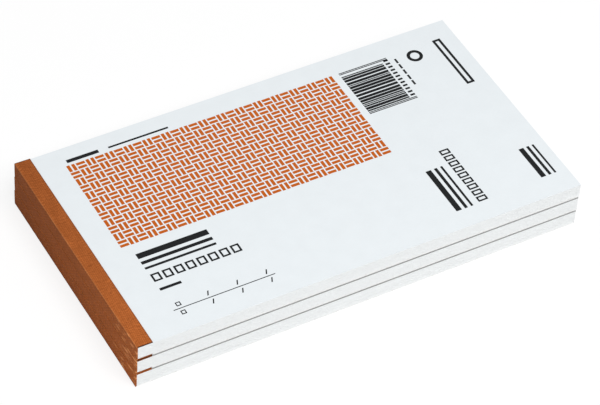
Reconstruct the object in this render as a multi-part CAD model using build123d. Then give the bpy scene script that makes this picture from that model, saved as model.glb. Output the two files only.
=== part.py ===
from build123d import *
import os
from math import floor, sqrt

# A set of three identical tape-bound receipt books, lying on each other.
# The spines are at -X, the fore edges at +X, and the bottom board lies on Z = 0. Sizes are in millimetres.

# Size of one book
book_length = 189.0
book_width = 104.0
leaf_count = 80
leaf_thickness = 0.07075
cover_thickness = 0.25
board_thickness = 0.7

# How far each book lies off the one below it, away from the spine
book_slip = 0.15

# Cloth tape folded round the bound edge
tape_thickness = 0.5
tape_flap = 6.5
tape_corner_radius = 0.7

# Two wire stitches through the bound edge, under the tape
stitch_inset = 3.2
stitch_spacing = 52.0
stitch_crown = 12.0
stitch_clinch = 4.5
wire_thickness = 0.4
wire_width = 0.6
wire_clearance = 0.05

# The first leaves of the top book turn with its cover, and tear off along a perforated line
turning_leaves = 6
crease_gap = 0.1
stub_length = 48.0
slot_length = 2.0
slot_width = 0.15
slot_pitch = 3.0

# Places that follow from the sizes
spine_face = -book_length / 2
fore_edge = book_length / 2
web_face = spine_face + tape_thickness
flap_end = spine_face + tape_flap
leaf_base = board_thickness
leaf_top = leaf_base + leaf_count * leaf_thickness
cover_top = leaf_top + cover_thickness
book_height = cover_top + tape_thickness
book_names = ("bottom", "middle", "top")
middle_number = (len(book_names) - 1) / 2


def block(x_low, x_high, width, z_low, z_high):
    """A box between two places along X and two heights, as wide as asked about Y = 0."""
    middle = Pos((x_low + x_high) / 2, 0, (z_low + z_high) / 2)
    return middle * Box(x_high - x_low, width, z_high - z_low)


def bound_edge(depth):
    """Where a sheet's bound edge lies against the tape, from its outer face's depth below the tape."""
    inner_radius = tape_corner_radius - tape_thickness
    rise = max(inner_radius - depth, 0)
    return web_face + inner_radius - sqrt(inner_radius**2 - rise**2)


def leaf_level(index):
    """The height of a leaf's lower face above its book's base, counted from the board."""
    return leaf_base + index * leaf_thickness


def leaf_bound_edge(index):
    """A leaf's bound edge: leaves near the cover and the board follow the tape's rounded corners."""
    from_cover = cover_top - leaf_level(index + 1)
    from_board = leaf_level(index) - tape_thickness
    return bound_edge(min(from_cover, from_board))


def wire_loop(grow):
    """One stitch at the origin's X and Y: crown, two legs and clinched ends, grown on every side."""
    width = wire_width + 2 * grow
    low = tape_thickness
    high = cover_top
    x_low = -width / 2
    x_high = width / 2
    outer = block(x_low, x_high, stitch_crown + 2 * grow, low - grow, high + grow)
    between_legs = stitch_crown - 2 * (wire_thickness + grow)
    inside_low = low + wire_thickness + grow
    inside_high = high - wire_thickness - grow
    inside = block(x_low, x_high, between_legs, inside_low, inside_high)
    between_ends = stitch_crown - 2 * (stitch_clinch + grow)
    opening = block(x_low, x_high, between_ends, low - grow, inside_low)
    return outer - inside - opening


def stitches(grow=0):
    """Both stitches of a book, or the room that they take up."""
    place = Pos(spine_face + stitch_inset, 0, 0)
    sides = (-stitch_spacing / 2, stitch_spacing / 2)
    return [place * Pos(0, side, 0) * wire_loop(grow) for side in sides]


stitch_room = stitches(wire_clearance)


def pierced(sheet):
    """A sheet with the room for the wire stitches cut from it."""
    return sheet - stitch_room


def spine_tape():
    """The tape's folded strip: a flap on the cover, a round-cornered back and a flap let into the board."""
    outer = Pos(spine_face + tape_flap / 2, book_height / 2) * Rectangle(tape_flap, book_height)
    outer = fillet(outer.vertices().sort_by(Axis.X)[:2], tape_corner_radius)
    inner_height = book_height - 2 * tape_thickness
    inner = Pos(web_face + tape_flap / 2, book_height / 2) * Rectangle(tape_flap, inner_height)
    inner = fillet(inner.vertices().sort_by(Axis.X)[:2], tape_corner_radius - tape_thickness)
    return extrude(Plane.XZ * (outer - inner), book_width / 2, both=True)


def back_board():
    """The stiff back, thinner under the tape so that the book's underside is flush."""
    under_tape = block(bound_edge(0), flap_end, book_width, tape_thickness, board_thickness)
    beyond_tape = block(flap_end, fore_edge, book_width, 0, board_thickness)
    return pierced(under_tape + beyond_tape)


def whole_cover():
    """A front cover from the bound edge to the fore edge."""
    return pierced(block(bound_edge(0), fore_edge, book_width, leaf_top, cover_top))


def cover_margin():
    """The part of a front cover that the tape holds."""
    return pierced(block(bound_edge(0), flap_end, book_width, leaf_top, cover_top))


def cover_panel():
    """The part of a front cover that swings open, from the crease at the tape's edge."""
    return block(flap_end + crease_gap, fore_edge, book_width, leaf_top, cover_top)


def bound_leaf(index, end):
    """A leaf from its bound edge as far as end."""
    low = leaf_level(index)
    high = leaf_level(index + 1)
    return pierced(block(leaf_bound_edge(index), end, book_width, low, high))


def turning_leaf(index):
    """The free part of a leaf, with the row of slots along which its receipt tears off the stub."""
    start = flap_end + crease_gap
    length = fore_edge - start
    slot_count = floor((book_width - slot_pitch) / slot_pitch)
    outline = Pos((start + fore_edge) / 2, 0) * Rectangle(length, book_width)
    slot_places = Pos(spine_face + stub_length, 0) * GridLocations(slot_pitch, slot_pitch, 1, slot_count)
    slots = slot_places * Rectangle(slot_width, slot_length)
    return extrude(Pos(0, 0, leaf_level(index)) * (outline - slots), leaf_thickness)


def save(node, solids, place):
    """Write a node's solids as one file, with its book at the given place."""
    placed = [place * solid for solid in solids]
    export_step(Compound(children=placed), f"parts/{node}.step")


def save_book(name, place, turning):
    """Write the pieces of one book, of which the uppermost leaves may turn."""
    fixed = leaf_count - turning
    save(f"{name}_back_board", [back_board()], place)
    save(f"{name}_leaves", whole_leaves[:fixed], place)
    save(f"{name}_staples", stitches(), place)
    save(f"{name}_spine_tape", [spine_tape()], place)
    if not turning:
        save(f"{name}_front_cover", [whole_cover()], place)
        return
    save(f"{name}_cover_margin", [cover_margin()], place)
    save(f"{name}_front_cover", [cover_panel()], place)
    turning_indices = range(fixed, leaf_count)
    save(f"{name}_leaf_margins", [bound_leaf(index, flap_end) for index in turning_indices], place)
    for index in turning_indices:
        save(f"{name}_turning_leaf_{leaf_count - index}", [turning_leaf(index)], place)


os.makedirs("parts", exist_ok=True)
whole_leaves = [bound_leaf(index, fore_edge) for index in range(leaf_count)]
for number, book in enumerate(book_names):
    book_place = Pos((number - middle_number) * book_slip, 0, number * book_height)
    is_top = book == book_names[-1]
    save_book(book, book_place, turning_leaves if is_top else 0)
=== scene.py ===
import math
import random
from collections import namedtuple

import bpy
from mathutils import Matrix, Vector, noise


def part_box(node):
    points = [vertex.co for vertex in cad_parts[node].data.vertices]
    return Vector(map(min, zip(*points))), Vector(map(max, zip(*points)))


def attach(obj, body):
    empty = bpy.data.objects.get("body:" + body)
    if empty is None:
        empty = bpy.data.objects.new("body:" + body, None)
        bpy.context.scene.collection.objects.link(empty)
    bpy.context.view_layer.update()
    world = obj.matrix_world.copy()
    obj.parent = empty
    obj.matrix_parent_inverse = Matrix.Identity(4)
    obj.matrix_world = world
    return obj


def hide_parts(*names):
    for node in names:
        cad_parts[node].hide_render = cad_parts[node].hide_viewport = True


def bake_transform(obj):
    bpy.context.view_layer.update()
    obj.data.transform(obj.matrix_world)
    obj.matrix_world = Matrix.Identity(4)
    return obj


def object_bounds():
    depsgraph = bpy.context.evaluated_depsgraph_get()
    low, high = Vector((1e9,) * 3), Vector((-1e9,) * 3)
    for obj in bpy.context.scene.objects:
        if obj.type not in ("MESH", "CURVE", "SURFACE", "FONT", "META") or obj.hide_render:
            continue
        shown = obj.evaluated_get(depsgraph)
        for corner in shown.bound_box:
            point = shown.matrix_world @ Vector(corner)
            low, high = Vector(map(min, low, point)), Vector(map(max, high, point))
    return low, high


# The looks of a set of three tape-bound receipt books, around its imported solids. Lengths are in metres.
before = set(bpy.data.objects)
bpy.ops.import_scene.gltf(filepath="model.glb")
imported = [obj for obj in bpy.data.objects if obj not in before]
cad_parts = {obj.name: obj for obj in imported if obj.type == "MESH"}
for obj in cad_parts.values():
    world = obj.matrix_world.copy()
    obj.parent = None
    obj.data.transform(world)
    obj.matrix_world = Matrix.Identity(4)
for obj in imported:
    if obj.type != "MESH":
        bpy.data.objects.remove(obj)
cad_low, cad_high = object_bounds()

MM = 0.001
SEED = 8

# Sheets: the share of its pitch that a leaf fills, how far cut edges stray, and the grid of sheets that bend
LEAF_FILL = 0.9
EDGE_STRAY = 0.05 * MM
BEND_REACH = 9 * MM
BEND_STEP = 0.45 * MM
SHEET_STEP = 6 * MM

# Perforation of the leaves, from the spine's outer face
STUB_LENGTH = 48 * MM
SLOT_LENGTH = 2 * MM
SLOT_WIDTH = 0.15 * MM
SLOT_PITCH = 3 * MM

# Form of the tape: its folds, its grid, how uneven it is, and how far flaps press down or fall short
TAPE_RADIUS = 0.32 * MM
INNER_RADIUS = 0.06 * MM
FOLD_ANGLES = [math.radians(degrees) for degrees in range(10, 90, 10)]
TAPE_STEP = 0.5 * MM
TAPE_UNEVEN = 0.02 * MM
UNEVEN_SCALE = 250
FLAP_SINK = 0.15 * MM
FLAP_SHORT = 0.8 * MM

# Cloth of the tape: the pitch of its threads and of its crosswise ripples, which wander by this many radians
THREAD_PITCH = 0.45 * MM
RIPPLE_PITCH = 1.2 * MM
RIPPLE_WANDER = 26.0

# Cut edges of the tape: their breadth, the share of it that stays bare of dark, and how dark each kind is;
# the dark at the ends of books is also painted shade of the seams, less so on the bottom book
TAPE_CUT_REACH = 0.4 * MM
CUT_TURN = 0.3
FLAP_CUT = 0.36
LOW_END_CUT_AND_SHADE = 0.4
WEB_CUT = 0.15

# Painted light and wear of the tape: painted shade below the top fold, rubbing with a painted highlight at
# its folds, painted light on the ledge by the next book and at its foot, and painted shade towards its back
# end
FOLD_SHADE = 0.15
FOLD_RUB_AND_HIGHLIGHT = 0.5
LEDGE_REACH = 0.45 * MM
LEDGE_MARGIN = 1.1
LEDGE_PAINTED_LIGHT = 0.2
FOOT_PAINTED_LIGHT = 0.2
FLAP_SHADE_SHARE = 0.6

# Scuffs with painted glints at the front end of the tape's back: their reach, features in a metre, threshold
# and strength
END_SCUFF_AND_GLINT_REACH = 22 * MM
SCUFF_SCALE_ACROSS = 900
SCUFF_SCALE_ALONG = 280
SCUFF_START = 0.2
SCUFF_GLINT_RUB = 11.0
RUB_AND_LIGHT_LIMIT = 3

# Ink stands this far out of the card or paper, and reaches this far into it
COVER_INK = 0.012 * MM
LEAF_INK = 0.005 * MM
INK_ROOT = 0.004 * MM

# Colours of card, paper, board, tape, ink and wire
WHITE = (1, 1, 1)
COVER_WHITE = (0.855, 0.902, 0.93)
LEAF_WHITE = (0.855, 0.873, 0.878)
BOARD_WHITE = (0.85, 0.86, 0.855)
BOARD_BACK = (0.40, 0.39, 0.365)
TAPE_BROWN = (0.67, 0.198, 0.053)
# The rubbed tape colour, also used for a painted highlight at the folds, painted light at the seams and
# painted glints
TAPE_WORN_AND_LIT = (0.88, 0.37, 0.14)
# The dark of cut tape edges, also used for painted shade at the seam ends and below the top fold
TAPE_CUT_AND_SHADE = (0.06, 0.022, 0.011)
INK_ORANGE = (0.56, 0.122, 0.011)
INK_BLACK = (0.012, 0.013, 0.014)
INK_GREY = (0.20, 0.21, 0.22)
WIRE_STEEL = (0.62, 0.62, 0.63)

# Painted shade of the seams between books, along the long edges of their sheets: its breadth, its grey, and
# its brown where the tape holds them
SEAM_SHADE_REACH = 0.45 * MM
SEAM_SHADE_GREY = (0.40, 0.40, 0.40)
SEAM_SHADE_BROWN = (0.34, 0.11, 0.04)

# Table: its half length, its drop, its white as lit and as seen, and the glow that makes it white far off
FLOOR_REACH = 6.0
FLOOR_DROP = 0.02 * MM
FLOOR_LIT = 0.9
FLOOR_SEEN = 0.24
FLOOR_LIFT = 0.78
FLOOR_NEAR = 0.3
FLOOR_FAR = 1.2

# Light from all round, and one soft lamp
WORLD_LIGHT = 0.28
KEY_PLACE = Vector((0.05, -0.914, 1.60))
KEY_SIZE = 1.2
KEY_POWER = 29.8

# Camera: where the middle of the picture falls on the table, and the view of it
LOOK_AT = Vector((4.23, 4.20, 0)) * MM
CAMERA_AZIMUTH = -31.48
CAMERA_ELEVATION = 45.39
CAMERA_ROLL = 3.91
CAMERA_DISTANCE = 1129.5 * MM
CAMERA_LENS = 175.28
CAMERA_CLIP = (0.05, 50)
SENSOR_WIDTH = 36


class Book:
    """Where one book of the stack lies, read from its solids."""

    def __init__(self, name):
        self.name = name
        self.body = f"{name}_book"
        low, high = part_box(f"{name}_spine_tape")
        self.spine, self.front, self.base = low
        self.flap_end, self.back, self.top = high
        _, cover_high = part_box(f"{name}_front_cover")
        self.cover_top = cover_high.z

    def at(self, x, y):
        """A place on the book, from millimetres off the spine's face and off the front edge."""
        return self.spine + x * MM, self.front + y * MM


books = [Book(name) for name in ("bottom", "middle", "top")]
bottom_book, middle_book, top_book = books
turning_names = sorted(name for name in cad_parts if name.startswith("top_turning_leaf_"))


# Material building


def new_material(name):
    """A node material, with its tree and its shader."""
    material = bpy.data.materials.new(name)
    material.use_nodes = True
    tree = material.node_tree
    return material, tree, tree.nodes["Principled BSDF"]


def set_inputs(tree, node, inputs):
    """Set a node's inputs to values, or link them to other sockets."""
    for key, value in inputs.items():
        if isinstance(value, bpy.types.NodeSocket):
            tree.links.new(value, node.inputs[key])
        else:
            node.inputs[key].default_value = value


def add_node(tree, kind, inputs, **settings):
    """A node with its settings and its inputs."""
    node = tree.nodes.new(kind)
    for key, value in settings.items():
        setattr(node, key, value)
    set_inputs(tree, node, inputs)
    return node


def calculate(tree, operation, *values):
    """What an operation makes of values that may be sockets."""
    return add_node(tree, "ShaderNodeMath", dict(enumerate(values)), operation=operation).outputs[0]


def rescaled(tree, value, low, high, new_low=0.0, new_high=1.0):
    """A value that goes from new_low to new_high, and no further, as the one given goes from low to high."""
    inputs = {"Value": value, "From Min": low, "From Max": high, "To Min": new_low, "To Max": new_high}
    return add_node(tree, "ShaderNodeMapRange", inputs).outputs["Result"]


def split(tree, vector):
    """The three parts of a vector."""
    return add_node(tree, "ShaderNodeSeparateXYZ", {0: vector}).outputs


def object_place(tree):
    """A place in the object's own coordinates."""
    return add_node(tree, "ShaderNodeTexCoord", {}).outputs["Object"]


def object_noise(tree, scale, detail, stretch=(1, 1, 1)):
    """A noise value over the object's own coordinates, with about scale features in a metre."""
    mapping = {"Vector": object_place(tree), "Scale": stretch}
    mapped = add_node(tree, "ShaderNodeMapping", mapping).outputs["Vector"]
    inputs = {"Vector": mapped, "Scale": scale, "Detail": detail}
    return add_node(tree, "ShaderNodeTexNoise", inputs).outputs["Fac"]


def attribute(tree, name):
    """A value that the mesh keeps at its points."""
    return add_node(tree, "ShaderNodeAttribute", {}, attribute_name=name).outputs["Fac"]


def ramp(tree, value, low, high, color_low, color_high):
    """A colour that goes from one to the other as the value goes from low to high."""
    node = add_node(tree, "ShaderNodeValToRGB", {"Fac": value})
    stops = node.color_ramp.elements
    stops[0].position, stops[0].color = low, (*color_low, 1)
    stops[1].position, stops[1].color = high, (*color_high, 1)
    return node.outputs["Color"]


def mixed(tree, share, first, second, blend="MIX"):
    """Two colours mixed, by a share that may be a socket."""
    inputs = {0: share, 6: first, 7: second}
    return add_node(tree, "ShaderNodeMix", inputs, data_type="RGBA", blend_type=blend).outputs[2]


def multiplied(tree, first, second):
    """Two colours multiplied."""
    return mixed(tree, 1.0, first, second, "MULTIPLY")


def bump(tree, height, distance, strength, normal=None):
    """A normal from a height, which stands out by about distance."""
    inputs = {"Height": height, "Distance": distance, "Strength": strength}
    if normal is not None:
        inputs["Normal"] = normal
    return add_node(tree, "ShaderNodeBump", inputs).outputs["Normal"]


def shaded(color, factor):
    """A colour made lighter or darker."""
    return tuple(min(channel * factor, 1) for channel in color)


# Materials


def painted_seam_shade(tree, color, painted_shade):
    """A colour that turns to painted shade in a hair's breadth along the long edges, brown at the tape, which
    darkens the seams between books.
    """
    place = split(tree, object_place(tree))
    from_middle = calculate(tree, "ABSOLUTE", place["Y"])
    rim = rescaled(tree, from_middle, cad_high.y - SEAM_SHADE_REACH, cad_high.y - SEAM_SHADE_REACH / 2)
    is_held = calculate(tree, "LESS_THAN", place["X"], middle_book.flap_end)
    seam_shaded = mixed(tree, is_held, painted_shade, (*SEAM_SHADE_BROWN, 1))
    return mixed(tree, rim, color, seam_shaded)


def paper_material(name, color, roughness, fibre_scale, fibre_depth, has_seam_shade=False):
    """Paper or card: clouded white with short fibres along the sheet's length and a fine tooth."""
    material, tree, shader = new_material(name)
    cloud = object_noise(tree, scale=140, detail=3)
    fibres = object_noise(tree, fibre_scale, detail=4, stretch=(0.35, 1, 1))
    clouded = ramp(tree, cloud, 0.3, 0.7, shaded(color, 0.985), shaded(color, 1.008))
    flecked = ramp(tree, fibres, 0.25, 0.75, (0.985, 0.985, 0.983), WHITE)
    base = multiplied(tree, clouded, flecked)
    set_inputs(tree, shader, {
        # Lower covers get a grey rim of painted shade that darkens the seams between books
        "Base Color": painted_seam_shade(tree, base, (*SEAM_SHADE_GREY, 1)) if has_seam_shade else base,
        "Normal": bump(tree, fibres, distance=fibre_depth, strength=0.6),
        "Roughness": roughness,
        "Specular IOR Level": 0.35,
    })
    return material


def card_material(name, has_seam_shade=False):
    """The smooth white card of the covers."""
    fibres = {"fibre_scale": 2200, "fibre_depth": 0.004 * MM}
    return paper_material(name, COVER_WHITE, roughness=0.42, has_seam_shade=has_seam_shade, **fibres)


def leaf_edge_material(name, color):
    """The cut leaves: paper whose tone differs a little from sheet to sheet."""
    material, tree, shader = new_material(name)
    sheet_tone = ramp(tree, attribute(tree, "sheet_tone"), 0, 1, shaded(color, 0.97), shaded(color, 1.01))
    cut = object_noise(tree, scale=900, detail=3, stretch=(1, 1, 6))
    cut_tone = ramp(tree, cut, 0.3, 0.75, (0.98, 0.979, 0.976), WHITE)
    set_inputs(tree, shader, {
        "Base Color": multiplied(tree, sheet_tone, cut_tone),
        "Normal": bump(tree, cut, distance=0.02 * MM, strength=0.5),
        "Roughness": 0.75,
        "Specular IOR Level": 0.3,
    })
    return material


def woven_height(tree):
    """The height of a plain weave: threads that cross over each other along the tape's run and its length."""
    waves = []
    for value in (attribute(tree, "run"), split(tree, object_place(tree))["Y"]):
        turns = calculate(tree, "MULTIPLY", value, math.pi / THREAD_PITCH)
        waves.append(calculate(tree, "SINE", turns))
    crossing = calculate(tree, "MULTIPLY", *waves)
    return rescaled(tree, crossing, -1.0, 1.0)


def crepe_height(tree):
    """The height of the tape's ripples: ridges across the tape that wander and fade in and out."""
    along = split(tree, object_place(tree))["Y"]
    wander = calculate(tree, "MULTIPLY", object_noise(tree, scale=300, detail=3), RIPPLE_WANDER)
    angle = calculate(tree, "MULTIPLY_ADD", along, 2 * math.pi / RIPPLE_PITCH, wander)
    wave = calculate(tree, "SINE", angle)
    patches = rescaled(tree, object_noise(tree, scale=600, detail=2), 0.35, 0.65)
    ridge = calculate(tree, "MULTIPLY", wave, patches)
    return rescaled(tree, ridge, -1.0, 1.0)


def rubbed_and_lit_share(tree):
    """How far the tape is rubbed or lightened by painted highlight, light and glints, which differs from
    patch to patch.
    """
    rubbed_and_lit_places = object_noise(tree, scale=700, detail=3, stretch=(1, 0.2, 1))
    patches = rescaled(tree, rubbed_and_lit_places, 0.35, 0.65, 0.25, 0.6)
    return calculate(tree, "MULTIPLY", attribute(tree, "rubbed"), patches)


def tape_material(name, color, worn_and_lit, cut):
    """Cloth tape: a fine weave with uneven threads, rubbed lighter at folds with a painted highlight, painted
    light at the seams and painted glints near the front end, darker where it is cut, with painted shade at
    seam ends, below the top fold and towards the back end.
    """
    material, tree, shader = new_material(name)
    weave = woven_height(tree)
    ripples = crepe_height(tree)
    slubs = object_noise(tree, scale=1100, detail=3, stretch=(1, 0.12, 1))
    speckle = object_noise(tree, scale=2600, detail=2)
    layers = (
        # Painted shade: the tape darker towards its back end, more on the spine than on the flaps
        ramp(tree, attribute(tree, "faded"), 0, 1, (0.62, 0.62, 0.66), WHITE),
        ramp(tree, weave, 0.1, 0.9, (0.66, 0.62, 0.58), WHITE),
        ramp(tree, ripples, 0.1, 0.9, (0.8, 0.78, 0.76), (1.12, 1.12, 1.12)),
        ramp(tree, slubs, 0.3, 0.7, (0.86, 0.84, 0.82), WHITE),
        ramp(tree, speckle, 0.35, 0.7, (0.82, 0.8, 0.77), WHITE),
    )
    clouds = object_noise(tree, scale=260, detail=4)
    toned = ramp(tree, clouds, 0.3, 0.72, shaded(color, 0.93), shaded(color, 1.06))
    for layer in layers:
        toned = multiplied(tree, toned, layer)
    # Rubbing, a painted highlight at the folds, painted light at the seams and painted glints all mix towards
    # the lighter colour
    rubbed = mixed(tree, rubbed_and_lit_share(tree), toned, (*worn_and_lit, 1))
    threads = bump(tree, weave, distance=0.06 * MM, strength=0.8)
    rippled = bump(tree, ripples, distance=0.06 * MM, strength=0.4, normal=threads)
    set_inputs(tree, shader, {
        # The cut attribute darkens cut edges and also carries painted shade at the seam ends and below the
        # top fold
        "Base Color": mixed(tree, attribute(tree, "cut"), rubbed, (*cut, 1)),
        "Normal": bump(tree, slubs, distance=0.05 * MM, strength=0.5, normal=rippled),
        "Roughness": ramp(tree, speckle, 0.3, 0.7, (0.5, 0.5, 0.5), (0.68, 0.68, 0.68)),
        "Specular IOR Level": 0.02,
    })
    return material


def ink_material(name, color):
    """Printing ink: even, with a slight mottle where the card takes it unevenly."""
    material, tree, shader = new_material(name)
    mottle = object_noise(tree, scale=1500, detail=3)
    set_inputs(tree, shader, {
        "Base Color": ramp(tree, mottle, 0.3, 0.75, shaded(color, 0.94), shaded(color, 1.06)),
        "Normal": bump(tree, mottle, distance=0.004 * MM, strength=0.3),
        "Roughness": 0.6,
        "Specular IOR Level": 0.08,
    })
    return material


def board_material(name, color, back_color, has_seam_shade=False):
    """Back board: white pulp with darker flecks, tinted grey on its back."""
    material, tree, shader = new_material(name)
    pulp = object_noise(tree, scale=420, detail=5, stretch=(0.5, 1, 1))
    flecks = object_noise(tree, scale=1900, detail=1, stretch=(0.4, 1, 1))
    facing = add_node(tree, "ShaderNodeNewGeometry", {}).outputs["True Normal"]
    faces_down = calculate(tree, "LESS_THAN", split(tree, facing)["Z"], -0.5)
    white = ramp(tree, pulp, 0.3, 0.7, shaded(color, 0.97), shaded(color, 1.02))
    tinted = ramp(tree, pulp, 0.3, 0.7, shaded(back_color, 0.85), shaded(back_color, 1.15))
    flecked = ramp(tree, flecks, 0.3, 0.42, (0.9, 0.89, 0.87), WHITE)
    base = multiplied(tree, mixed(tree, faces_down, white, tinted), flecked)
    set_inputs(tree, shader, {
        # Upper boards get a brown rim of painted shade by the tape, which darkens the seams between books
        "Base Color": painted_seam_shade(tree, base, base) if has_seam_shade else base,
        "Normal": bump(tree, pulp, distance=0.02 * MM, strength=0.6),
        "Roughness": 0.8,
        "Specular IOR Level": 0.2,
    })
    return material


def wire_material(name, color):
    """Drawn steel wire, with fine marks along its length."""
    material, tree, shader = new_material(name)
    drawn = object_noise(tree, scale=4000, detail=2, stretch=(1, 0.1, 1))
    set_inputs(tree, shader, {
        "Base Color": ramp(tree, drawn, 0.3, 0.7, shaded(color, 0.85), shaded(color, 1.05)),
        "Normal": bump(tree, drawn, distance=0.01 * MM, strength=0.4),
        "Metallic": 1.0,
        "Roughness": 0.32,
    })
    return material


cover_card = card_material("cover_card")
# The lower covers and upper boards carry painted shade along their long edges, which darkens the seams
# between books
lower_card = card_material("lower_card", has_seam_shade=True)
leaf_paper = paper_material("leaf_paper", LEAF_WHITE, roughness=0.7, fibre_scale=1500, fibre_depth=0.008 * MM)
leaf_edges = leaf_edge_material("leaf_edges", LEAF_WHITE)
tape_cloth = tape_material("tape_cloth", TAPE_BROWN, TAPE_WORN_AND_LIT, TAPE_CUT_AND_SHADE)
orange_ink = ink_material("orange_ink", INK_ORANGE)
black_ink = ink_material("black_ink", INK_BLACK)
grey_ink = ink_material("grey_ink", INK_GREY)
back_board = board_material("back_board", BOARD_WHITE, BOARD_BACK)
upper_board = board_material("upper_board", BOARD_WHITE, BOARD_BACK, has_seam_shade=True)
staple_wire = wire_material("staple_wire", WIRE_STEEL)


# Mesh building


def new_piece(name, points, faces, material):
    """A mesh object with one material."""
    mesh = bpy.data.meshes.new(name)
    mesh.from_pydata([tuple(point) for point in points], [], faces)
    mesh.validate()
    mesh.update()
    mesh.materials.append(material)
    piece = bpy.data.objects.new(name, mesh)
    bpy.context.scene.collection.objects.link(piece)
    return piece


def keep_values(piece, name, values):
    """Keep one value for each point of a piece, for its material to read."""
    layer = piece.data.attributes.new(name, "FLOAT", "POINT")
    layer.data.foreach_set("value", values)


def spaced(low, high, step):
    """Places from low to high, both included, at about the step given."""
    count = max(1, round((high - low) / step))
    return [low + (high - low) * n / count for n in range(count + 1)]


def never_open(i, j):
    """No cell of a plain sheet is cut through."""
    return False


def plate(xs, ys, low, high, is_open=never_open):
    """Points and faces of a closed flat sheet over a grid of places, with some of its cells cut through."""
    columns, rows = len(xs) - 1, len(ys) - 1
    points, faces, number = [], [], {}

    def filled(i, j):
        return 0 <= i < columns and 0 <= j < rows and not is_open(i, j)

    def corner(i, j, level):
        key = (i, j, level)
        if key not in number:
            number[key] = len(points)
            points.append((xs[i], ys[j], high if level else low))
        return number[key]

    def wall(first, second):
        faces.append((corner(*first, 0), corner(*second, 0), corner(*second, 1), corner(*first, 1)))

    for i in range(columns):
        for j in range(rows):
            if not filled(i, j):
                continue
            ring = [(i, j), (i + 1, j), (i + 1, j + 1), (i, j + 1)]
            faces.append(tuple(corner(*place, 1) for place in ring))
            faces.append(tuple(corner(*place, 0) for place in reversed(ring)))
            beside = [(i, j - 1), (i + 1, j), (i, j + 1), (i - 1, j)]
            for side, neighbour in enumerate(beside):
                if not filled(*neighbour):
                    wall(ring[side], ring[(side + 1) % 4])
    return points, faces


def prisms(outlines, book, low, high):
    """Points and faces of closed upright prisms over outlines given in millimetres on a book."""
    points, faces = [], []
    for outline in outlines:
        first, count = len(points), len(outline)
        for level in (low, high):
            points += [(*book.at(x, y), level) for x, y in outline]
        faces.append(tuple(first + count + n for n in range(count)))
        faces.append(tuple(first + count - 1 - n for n in range(count)))
        for n in range(count):
            after = (n + 1) % count
            faces.append((first + n, first + after, first + count + after, first + count + n))
    return points, faces


# Outlines of print, in millimetres from the spine and the front edge


def bar(x, y, length, width):
    """A bar from its lowest corner, as an outline."""
    return [(x, y), (x + length, y), (x + length, y + width), (x, y + width)]


def box_frame(x, y, length, width, line):
    """An empty box, as four bars that meet without overlap."""
    return [
        bar(x, y, length, line),
        bar(x, y + width - line, length, line),
        bar(x, y + line, line, width - 2 * line),
        bar(x + length - line, y + line, line, width - 2 * line),
    ]


def ring_outline(x, y, radius, line, parts=32):
    """A round ring, as short pieces side by side."""
    outlines = []
    for n in range(parts):
        a, b = (2 * math.pi * k / parts for k in (n, n + 1))
        inner, outer = radius - line, radius
        outlines.append([
            (x + inner * math.cos(a), y + inner * math.sin(a)),
            (x + outer * math.cos(a), y + outer * math.sin(a)),
            (x + outer * math.cos(b), y + outer * math.sin(b)),
            (x + inner * math.cos(b), y + inner * math.sin(b)),
        ])
    return outlines


def basket_pattern():
    """A traditional basket pattern: square tiles of two bars that lie and stand by turns."""
    tile, columns, rows = 4.0, 29, 12
    left, front = 16.8, 46.7
    bar_width, bar_gap, inset = 1.32, 0.68, 0.2
    length = tile - 2 * inset
    outlines = []
    for column in range(columns):
        for row in range(rows):
            x, y = left + column * tile, front + row * tile
            for n in range(2):
                across = (bar_gap / 2) + n * (bar_width + bar_gap)
                if (column + row) % 2:
                    outlines.append(bar(x + across, y + inset, bar_width, length))
                else:
                    outlines.append(bar(x + inset, y + across, length, bar_width))
    return outlines


def number_boxes(x, y, count, size, height, pitch, line):
    """A row of empty boxes along X."""
    return [side for n in range(count) for side in box_frame(x + n * pitch, y, size, height, line)]


def standing_boxes(x, y, count, size, height, pitch, line):
    """A row of empty boxes along Y."""
    return [side for n in range(count) for side in box_frame(x, y + n * pitch, height, size, line)]


def slash(x, y, height):
    """A slanting stroke, as between the parts of a date."""
    lean, line = 0.45 * height, 0.55
    return [(x, y), (x + line, y), (x + lean + line, y + height), (x + lean, y + height)]


def heading_rules(x, y, length, width):
    """A printed heading along X: a heavy rule with two finer ones in front of it."""
    shares = ((0.0, 0.13), (0.32, 0.18), (0.68, 0.32))
    return [bar(x, y + start * width, length, share * width) for start, share in shares]


def standing_rules(x, y, length, width):
    """The same heading along Y, with its finer rules towards the fore edge."""
    shares = ((0.0, 0.32), (0.5, 0.18), (0.87, 0.13))
    return [bar(x + start * width, y, share * width, length) for start, share in shares]


def cover_print():
    """The black print on each cover: heading rules, a row of number boxes and a line for two dates."""
    marks = [bar(18.4, 95.8, 13.4, 1.7), bar(36, 96.2, 25.5, 0.9)]
    marks += heading_rules(20.2, 33.2, 29.5, 8.6)
    marks += number_boxes(20.4, 26.2, count=8, size=3.6, height=4.1, pitch=4.7, line=0.8)
    marks += [bar(20.4, 21.4, 8.8, 1.3), bar(20.2, 10.4, 41.9, 0.38)]
    for level in (11.8, 7.4):
        marks += box_frame(22.2, level, 2.0, 2.0, line=0.42)
        marks += [slash(x, level - 0.1, height=2.2) for x in (34.6, 46.7, 58.8)]
    return marks


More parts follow.
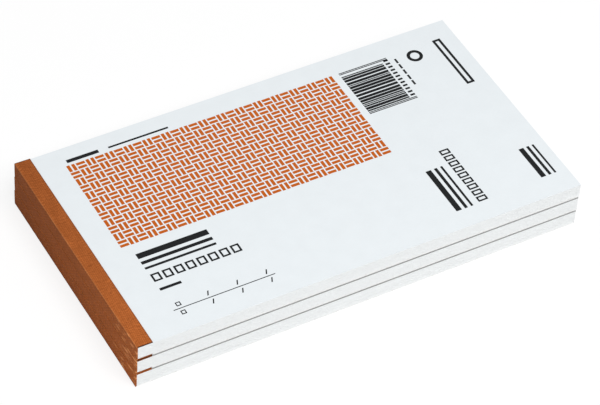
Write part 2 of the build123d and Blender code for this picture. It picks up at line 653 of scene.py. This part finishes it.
def bar_code(x, y, length, span):
    """Made-up bars that stand for no number, from a seeded draw of widths, with dashes beside them."""
    draw = random.Random(SEED)
    module = 0.264
    guard_width = 1.6 * module
    end = y + span
    dash_count, dash_length, dash_width, dash_gap = 12, 2.0, 1.0, 0.8
    dash_pitch = span / (dash_count + 1)
    dash_x = x + length - dash_length
    outlines = [bar(dash_x, y + n * dash_pitch, dash_length, dash_width) for n in range(1, dash_count + 1)]
    for guard in (y, y + 2.6 * module, end - 4.2 * module, end - guard_width):
        outlines.append(bar(x, guard, length, guard_width))
    place = y + 5.5 * module
    while place < end - 8 * module:
        width = module * draw.choice((2, 3, 4, 5))
        outlines.append(bar(x, place, length - dash_length - dash_gap, width))
        place += width + module * draw.choice((1, 1, 1, 2))
    return outlines


def set_print():
    """The black print across the top cover's far end: bars, boxes and rings in plain shapes."""
    marks = bar_code(135.6, 69.0, 21.6, span=25.4)
    marks += [bar(159.6, 76.0 + n * 3.4, 0.9, 2.6) for n in range(5)]
    marks += ring_outline(168.2, 90.4, radius=3.3, line=1.4)
    marks += box_frame(178.7, 67.2, 3.6, 27.8, line=1.1)
    marks += standing_rules(138.8, 8.6, 23.4, 7.4)
    marks += standing_boxes(149.0, 9.2, count=9, size=2.7, height=4.2, pitch=3.45, line=0.75)
    marks += standing_rules(177.4, 9.9, 16.9, 6.8)
    return marks


def receipt_form():
    """The faint lines of a blank receipt and its stub."""
    fine = 0.25
    number_row = {"size": 4.2, "height": 4.2, "pitch": 5.2, "line": fine}
    marks = [bar(17, y, 26, fine) for y in (84, 74, 64, 54, 44)]
    marks += number_boxes(17, 91, count=5, **number_row)
    marks += box_frame(17, 20, 26, 12, line=0.3)
    marks += [bar(96, 90, 46, 0.7), bar(96, 88.6, 46, fine)]
    marks += number_boxes(150, 91, count=6, **number_row)
    marks += [bar(58, 76, 74, 0.3)]
    marks += box_frame(66, 54, 104, 14, line=0.45)
    marks += [bar(66 + n * 13, 54.45, 0.2, 13.1) for n in range(1, 8)]
    marks += [bar(58, y, 96, fine) for y in (45, 37)]
    marks += [bar(98, y, 66, fine) for y in (28, 20, 12)]
    marks += ring_outline(173, 20, radius=7, line=0.3)
    dash, gap, left, front, span = 1.6, 0.9, 58, 9, 19.1
    steps = [n * (dash + gap) for n in range(8)]
    marks += [bar(left + s, y, dash, fine) for s in steps for y in (front, front + span)]
    marks += [bar(x, front + s, fine, dash) for s in steps[1:] for x in (left, left + span)]
    return marks


# Sheets and print


def bend_places(start, end):
    """Places along a sheet, close together where it bends at the tape's edge."""
    bend_end = start + BEND_REACH
    return spaced(start, bend_end, BEND_STEP) + spaced(bend_end, end, SHEET_STEP)[1:]


def perforated_grid(book, xs, ys):
    """The grid of a sheet with a row of slots along its tear-off line, and which of its cells are slots."""
    slot_x = book.spine + STUB_LENGTH
    slot_sides = [slot_x - SLOT_WIDTH / 2, slot_x + SLOT_WIDTH / 2]
    xs = sorted([x for x in xs if abs(x - slot_x) > SLOT_WIDTH] + slot_sides)
    slot_column = xs.index(slot_sides[0])
    middle = (book.front + book.back) / 2
    count = math.floor((book.back - book.front) / SLOT_PITCH) - 1
    starts = [middle + (n - (count - 1) / 2) * SLOT_PITCH - SLOT_LENGTH / 2 for n in range(count)]
    slot_ends = [y for start in starts for y in (start, start + SLOT_LENGTH)]

    def is_slot(i, j):
        return i == slot_column and j % 2 == 1

    return xs, [ys[0], *slot_ends, ys[-1]], is_slot


def leaf_pitch():
    """The height that one leaf takes up."""
    low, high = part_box(turning_names[0])
    return high.z - low.z


def leaf_stack(book, node, top_is_perforated):
    """The fixed leaves of a book, each a sheet of its own with slightly uneven edges."""
    low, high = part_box(node)
    pitch = leaf_pitch()
    count = round((high.z - low.z) / pitch)
    draw = random.Random(f"{SEED}-{node}")
    points, faces, tones = [], [], []
    for n in range(count):
        bottom = low.z + n * pitch
        front, back, fore = (draw.uniform(0, EDGE_STRAY) for _ in range(3))
        ys = [low.y + front, high.y - back]
        xs = [low.x + EDGE_STRAY, high.x - fore]
        is_open = never_open
        if top_is_perforated and n == count - 1:
            xs, ys, is_open = perforated_grid(book, xs, ys)
        sheet_points, sheet_faces = plate(xs, ys, bottom, bottom + LEAF_FILL * pitch, is_open)
        first = len(points)
        points += sheet_points
        faces += [tuple(first + k for k in face) for face in sheet_faces]
        tones += [draw.random()] * len(sheet_points)
    piece = new_piece(f"{book.name}_leaf_stack", points, faces, leaf_edges)
    keep_values(piece, "sheet_tone", tones)
    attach(piece, book.body)
    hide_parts(node)


def bend_at_tape(piece):
    """Bake a sheet of the top book's placement into its mesh."""
    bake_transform(piece)


def add_print(name, outlines, book, surface, height, material, body):
    """Print that lies on a surface and moves with a body."""
    points, faces = prisms(outlines, book, surface - INK_ROOT, surface + height)
    piece = new_piece(name, points, faces, material)
    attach(piece, body)


def print_on_cover(name, outlines, ink, book, body):
    """Print on a book's cover."""
    add_print(name, outlines, book, book.cover_top, COVER_INK, ink, body)


def print_on_leaf(name, surface, body):
    """The faint blank form on a leaf of the top book."""
    add_print(name, receipt_form(), top_book, surface, LEAF_INK, grey_ink, body)


def cover_prints(book, body):
    """What is printed on each book's cover."""
    print_on_cover(f"{book.name}_cover_pattern", basket_pattern(), orange_ink, book, body)
    print_on_cover(f"{book.name}_cover_marks", cover_print(), black_ink, book, body)


def turning_leaf(node, body):
    """A turning leaf of the top book, perforated, with a close grid where the tape holds it; its form moves
    with its body.
    """
    low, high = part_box(node)
    xs = bend_places(top_book.flap_end, high.x)
    xs, ys, is_open = perforated_grid(top_book, xs, [low.y, high.y])
    surface = low.z + LEAF_FILL * (high.z - low.z)
    points, faces = plate(xs, ys, low.z, surface, is_open)
    piece = new_piece(node.replace("turning_leaf", "paper_leaf"), points, faces, leaf_paper)
    bend_at_tape(piece)
    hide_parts(node)
    print_on_leaf(f"{piece.name}_form", surface, body)


def stack_form():
    """The blank form on the first leaf that stays with the top book."""
    _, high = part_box("top_leaves")
    print_on_leaf("top_stack_form", high.z - (1 - LEAF_FILL) * leaf_pitch(), top_book.body)


def top_cover():
    """The top book's cover, with a close grid where the tape holds it."""
    low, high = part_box("top_front_cover")
    xs = bend_places(top_book.flap_end, high.x)
    ys = spaced(low.y, high.y, SHEET_STEP)
    points, faces = plate(xs, ys, low.z, high.z)
    piece = new_piece("top_cover_card", points, faces, cover_card)
    bend_at_tape(piece)
    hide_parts("top_front_cover")


# Tape


# A point of the tape's outside line: its place, its outward direction, how far it sinks in, how rubbed or lit
# by painted highlight it is, how dark it is along the line and at the tape's two ends, from cut edges and
# painted shade, and how far it falls short of those ends
TapePoint = namedtuple("TapePoint", "x z out_x out_z sink rub cut end_cut short")


def flap_places(book, radius):
    """Places along a flap from its fold to its end, closer together at the cut edge."""
    cut_start = book.flap_end - TAPE_CUT_REACH
    flat = spaced(book.spine + LEDGE_REACH, cut_start, TAPE_STEP)
    return [book.spine + radius, *flat, cut_start + CUT_TURN * TAPE_CUT_REACH, book.flap_end]


def flap_point(book, x, z, out_z, rub=0, short=0):
    """A point of a flap, which sinks in the further it is from the fold."""
    share = (x - book.spine) / (book.flap_end - book.spine)
    cut = FLAP_CUT if x > book.flap_end - TAPE_CUT_REACH else 0
    # Books above the bottom one have fully dark ends, as painted shade of the seams; the bottom book's ends
    # are less dark
    end_cut = LOW_END_CUT_AND_SHADE if book is bottom_book else 1
    return TapePoint(x, z, 0, out_z, FLAP_SINK * share, rub, cut, end_cut, short)


def fold_point(book, out_x, out_z, radius, middle_z, rub):
    """A point of a rounded fold, in its direction from the fold's middle."""
    x = book.spine + radius + radius * out_x
    z = middle_z + radius * out_z
    return TapePoint(x, z, out_x, out_z, 0, rub, 0, WEB_CUT, 0)


def back_points(book, low, high):
    """Points down the tape's back between its folds, with painted shade below the top fold and painted light
    at the foot.
    """
    points = []
    for n, z in enumerate(reversed(spaced(low, high, TAPE_STEP))):
        # Painted shade in a band just below the top book's top fold
        painted_shade = FOLD_SHADE if book is top_book and n == 1 else 0
        # Painted light at the foot of the upper books' backs, where the seam is shaded
        is_foot = z < book.base + TAPE_STEP and book is not bottom_book
        points.append(TapePoint(book.spine, z, -1, 0, 0, FOOT_PAINTED_LIGHT if is_foot else 0, painted_shade, WEB_CUT, 0))
    return points


def tape_profile(book):
    """The tape's outside line, from the upper flap's end round the back to the lower flap's end."""
    is_top = book is top_book
    radius = TAPE_RADIUS if is_top else INNER_RADIUS
    upper_z = book.top - radius
    lower_z = book.base + INNER_RADIUS
    line = []
    for x in reversed(flap_places(book, radius)):
        # Painted light on the ledge beside the next book up, where the seam is shaded
        is_ledge = x < book.spine + LEDGE_MARGIN * LEDGE_REACH and not is_top
        line.append(flap_point(book, x, book.top, 1, rub=LEDGE_PAINTED_LIGHT if is_ledge else 0))
    for angle in FOLD_ANGLES:
        # The upper fold is rubbed lighter, partly as a painted highlight
        line.append(fold_point(book, -math.sin(angle), math.cos(angle), radius, upper_z, FOLD_RUB_AND_HIGHLIGHT))
    line += back_points(book, lower_z, upper_z)
    for angle in FOLD_ANGLES:
        # Painted light at the lower fold, against the shade of the seam or the table
        line.append(fold_point(book, -math.cos(angle), -math.sin(angle), INNER_RADIUS, lower_z, FOOT_PAINTED_LIGHT))
    for x in flap_places(book, INNER_RADIUS):
        line.append(flap_point(book, x, book.base, -1, short=FLAP_SHORT))
    return line


def tape_runs(line):
    """How far each point of the outside line is along it."""
    runs = [0]
    for before, after in zip(line, line[1:]):
        runs.append(runs[-1] + math.dist(before[:2], after[:2]))
    return runs


def tape_pair(book, point, y):
    """The outer and the inner place of the tape at a point of its line, at a place along the spine."""
    thickness = book.top - book.cover_top
    flap_share = 1 - thickness / (book.flap_end - book.spine)
    web_share = 1 - 2 * thickness / (book.top - book.base)
    middle, half = (book.front + book.back) / 2, (book.back - book.front) / 2
    middle_z = (book.base + book.top) / 2
    drawn_in = middle + (y - middle) * (1 - point.short / half)
    unevenness = noise.noise(Vector((point.x, y, point.z)) * UNEVEN_SCALE)
    depth = point.sink + TAPE_UNEVEN * (1 + unevenness)
    outer = (point.x - depth * point.out_x, drawn_in, point.z - depth * point.out_z)
    inner_x = book.flap_end - (book.flap_end - point.x) * flap_share
    inner_z = middle_z + (point.z - middle_z) * web_share
    return outer, (inner_x, drawn_in, inner_z)


def tape_rub_and_light(book, point, y):
    """How rubbed or lightened by painted light the tape is: a painted highlight at its folds, painted light
    at the seams, and scuffs with painted glints at the front end of its back.
    """
    across, along = SCUFF_SCALE_ACROSS, SCUFF_SCALE_ALONG
    streak = noise.noise(Vector((across * point.x, along * y, across * point.z)))
    end_scuff_and_glint = max(0, 1 - (y - book.front) / END_SCUFF_AND_GLINT_REACH)
    # Scuffs near the front end, partly painted glints
    scuff_and_glint = SCUFF_GLINT_RUB * max(0, streak - SCUFF_START) * end_scuff_and_glint * abs(point.out_x)
    return min(RUB_AND_LIGHT_LIMIT, point.rub + scuff_and_glint)


def tape_painted_falloff(book, point, y):
    """Painted shade along the tape: none at the front end, darker towards the back, above all on the spine.
    """
    from_front = (y - book.front) / (book.back - book.front)
    return 1 - from_front * (FLAP_SHADE_SHARE + (1 - FLAP_SHADE_SHARE) * abs(point.out_x))


def tape_faces(across, stations):
    """Faces of a closed strip whose points are pairs of outer and inner ones, line after line."""
    faces = []
    for s in range(stations - 1):
        for n in range(across - 1):
            a, b = 2 * (s * across + n), 2 * ((s + 1) * across + n)
            faces.append((a, b, b + 2, a + 2))
            faces.append((a + 1, a + 3, b + 3, b + 1))
        for n, flip in ((0, True), (across - 1, False)):
            a, b = 2 * (s * across + n), 2 * ((s + 1) * across + n)
            edge = (a, b, b + 1, a + 1)
            faces.append(tuple(reversed(edge)) if flip else edge)
    for s, flip in ((0, True), (stations - 1, False)):
        for n in range(across - 1):
            a = 2 * (s * across + n)
            cap = (a, a + 1, a + 3, a + 2)
            faces.append(tuple(reversed(cap)) if flip else cap)
    return faces


def spine_tape(book):
    """The cloth tape of a book, as a folded strip that follows its solid, worn at its folds and ends, with
    painted highlight, light, glints and shade kept at its points.
    """
    line = tape_profile(book)
    inner = spaced(book.front + TAPE_CUT_REACH, book.back - TAPE_CUT_REACH, 2 * TAPE_STEP)
    stations = [book.front, *inner, book.back]
    runs = tape_runs(line) * len(stations)
    points, rubs_and_lights, cuts_and_shades, falloffs = [], [], [], []
    for y in stations:
        is_end = y in (book.front, book.back)
        for point in line:
            points += tape_pair(book, point, y)
            rubs_and_lights.append(tape_rub_and_light(book, point, y))
            cuts_and_shades.append(max(point.cut, point.end_cut) if is_end else point.cut)
            falloffs.append(tape_painted_falloff(book, point, y))
    faces = tape_faces(len(line), len(stations))
    piece = new_piece(f"{book.name}_cloth_tape", points, faces, tape_cloth)
    for name, values in (("rubbed", rubs_and_lights), ("cut", cuts_and_shades), ("faded", falloffs), ("run", runs)):
        keep_values(piece, name, [value for value in values for _ in range(2)])
    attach(piece, book.body)
    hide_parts(f"{book.name}_spine_tape")


# The whole stack


def dress(node, material):
    """Give a solid that shows as it is its material."""
    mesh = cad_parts[node].data
    mesh.materials.clear()
    mesh.materials.append(material)


for book in books:
    is_top = book is top_book
    leaf_stack(book, f"{book.name}_leaves", is_top)
    spine_tape(book)
    dress(f"{book.name}_back_board", back_board if book is bottom_book else upper_board)
    dress(f"{book.name}_staples", staple_wire)
    if not is_top:
        dress(f"{book.name}_front_cover", lower_card)
    cover_prints(book, "top_cover" if is_top else book.body)

top_cover()
dress("top_cover_margin", cover_card)
dress("top_leaf_margins", leaf_paper)
print_on_cover("top_cover_set_marks", set_print(), black_ink, top_book, "top_cover")
for number, node in enumerate(turning_names, 1):
    turning_leaf(node, f"top_leaf_{number}")
stack_form()


# Stage, light and camera


def floor_material(name):
    """White that shows a light shadow to the camera, and fades to plain white far off."""
    material, tree, shader = new_material(name)
    seen = add_node(tree, "ShaderNodeLightPath", {}).outputs["Is Camera Ray"]
    lit_white = (FLOOR_LIT, FLOOR_LIT, FLOOR_LIT, 1)
    seen_white = (FLOOR_SEEN, FLOOR_SEEN, FLOOR_SEEN, 1)
    place = {0: object_place(tree)}
    away = add_node(tree, "ShaderNodeVectorMath", place, operation="LENGTH").outputs["Value"]
    glow = rescaled(tree, away, FLOOR_NEAR, FLOOR_FAR, FLOOR_LIFT, 1.0)
    set_inputs(tree, shader, {
        "Base Color": mixed(tree, seen, lit_white, seen_white),
        "Emission Strength": calculate(tree, "MULTIPLY", seen, glow),
        "Emission Color": (*WHITE, 1),
        "Roughness": 0.9,
        "Specular IOR Level": 0.0,
    })
    return material


def add_floor():
    """A white table top under the stack."""
    corners = [(-1, -1), (1, -1), (1, 1), (-1, 1)]
    mesh = bpy.data.meshes.new("floor")
    mesh.from_pydata([(FLOOR_REACH * x, FLOOR_REACH * y, 0) for x, y in corners], [], [(0, 1, 2, 3)])
    mesh.materials.append(floor_material("floor_white"))
    floor = bpy.data.objects.new("floor", mesh)
    floor.location.z = cad_low.z - FLOOR_DROP
    bpy.context.scene.collection.objects.link(floor)


def add_world():
    """Even soft light from all round, seen as white behind the object."""
    world = bpy.data.worlds.new("studio")
    world.use_nodes = True
    bpy.context.scene.world = world
    tree = world.node_tree
    path = add_node(tree, "ShaderNodeLightPath", {}).outputs
    seen = calculate(tree, "MAXIMUM", path["Is Camera Ray"], path["Is Glossy Ray"])
    shown = calculate(tree, "MAXIMUM", seen, path["Is Transmission Ray"])
    strength = rescaled(tree, shown, 0.0, 1.0, WORLD_LIGHT, 1.0)
    set_inputs(tree, tree.nodes["Background"], {"Color": (*WHITE, 1), "Strength": strength})


def add_lamp(name, place, size, power):
    """A square soft lamp that faces the stack."""
    lamp = bpy.data.lights.new(name, "AREA")
    lamp.size = size
    lamp.energy = power
    holder = bpy.data.objects.new(name, lamp)
    holder.location = place
    holder.rotation_euler = (LOOK_AT - place).to_track_quat("-Z", "Y").to_euler()
    bpy.context.scene.collection.objects.link(holder)


def add_camera():
    """The camera at the photograph's viewing angle."""
    azimuth, elevation = math.radians(CAMERA_AZIMUTH), math.radians(CAMERA_ELEVATION)
    back = Vector((
        math.sin(azimuth) * math.cos(elevation),
        -math.cos(azimuth) * math.cos(elevation),
        math.sin(elevation),
    ))
    data = bpy.data.cameras.new("camera")
    data.lens = CAMERA_LENS
    data.sensor_width = SENSOR_WIDTH
    data.clip_start, data.clip_end = CAMERA_CLIP
    camera = bpy.data.objects.new("camera", data)
    level = (-back).to_track_quat("-Z", "Y").to_matrix().to_4x4()
    turn = Matrix.Rotation(math.radians(CAMERA_ROLL), 4, "Z")
    camera.matrix_world = Matrix.Translation(LOOK_AT + back * CAMERA_DISTANCE) @ level @ turn
    bpy.context.scene.collection.objects.link(camera)
    bpy.context.scene.camera = camera


add_floor()
add_world()
add_lamp("key_lamp", KEY_PLACE, KEY_SIZE, KEY_POWER)
add_camera()
bpy.context.scene.view_settings.view_transform = "Standard"
